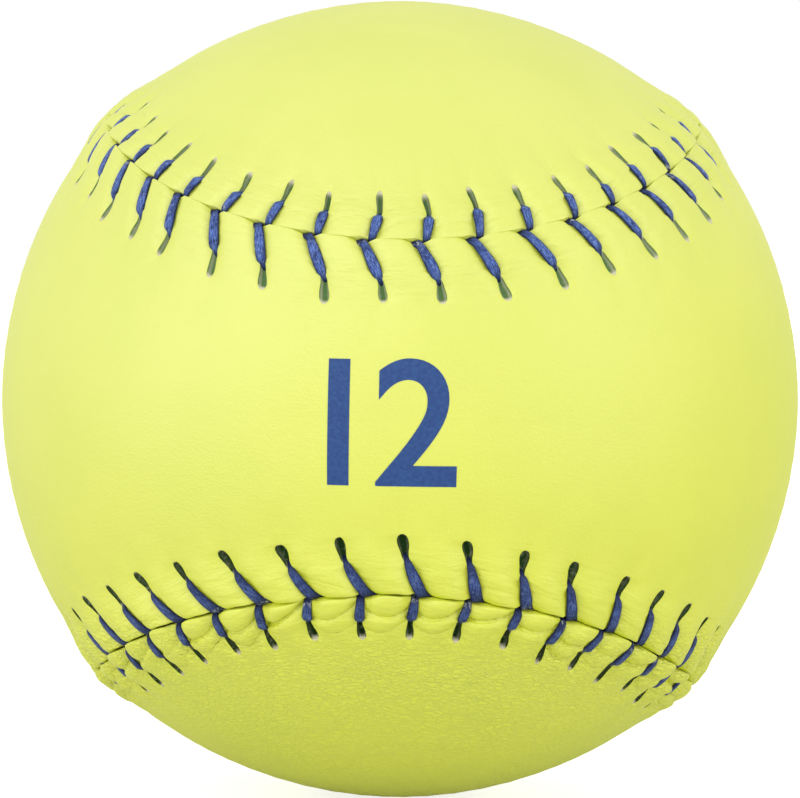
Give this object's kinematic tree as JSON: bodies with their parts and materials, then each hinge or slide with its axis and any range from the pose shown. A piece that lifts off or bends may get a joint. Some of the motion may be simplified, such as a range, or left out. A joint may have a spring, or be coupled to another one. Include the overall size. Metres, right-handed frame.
{
  "type": "softball",
  "caption": "Round ball with a moulded core and a two-panel figure-eight cover, laced edge to edge with a raised herringbone seam.",
  "frame": {"origin": "centre of the ball", "axes": "-Y out through the middle of the waist of cover panel a, +X and -X out through its two lobes, +Z and -Z out through the two lobes of cover panel b, +Y out through the waist of panel b; -Z is the way down in the pictured view"},
  "size_m": [0.097, 0.097, 0.097],
  "materials": {
    "core_foam": "moulded polyurethane foam with a fine skin",
    "cement": "dried latex cement, matt",
    "cover_leather": "optic yellow synthetic leather, fine grain, satin",
    "stitch_thread": "waxed blue thread of several plies"
  },
  "bodies": {
    "root": {"core": "core_foam", "cement_coat": "cement", "cover_panel_a": "cover_leather", "cover_panel_b": "cover_leather", "stitch_thread_a": "stitch_thread", "stitch_thread_b": "stitch_thread"}
  },
  "joints": []
}
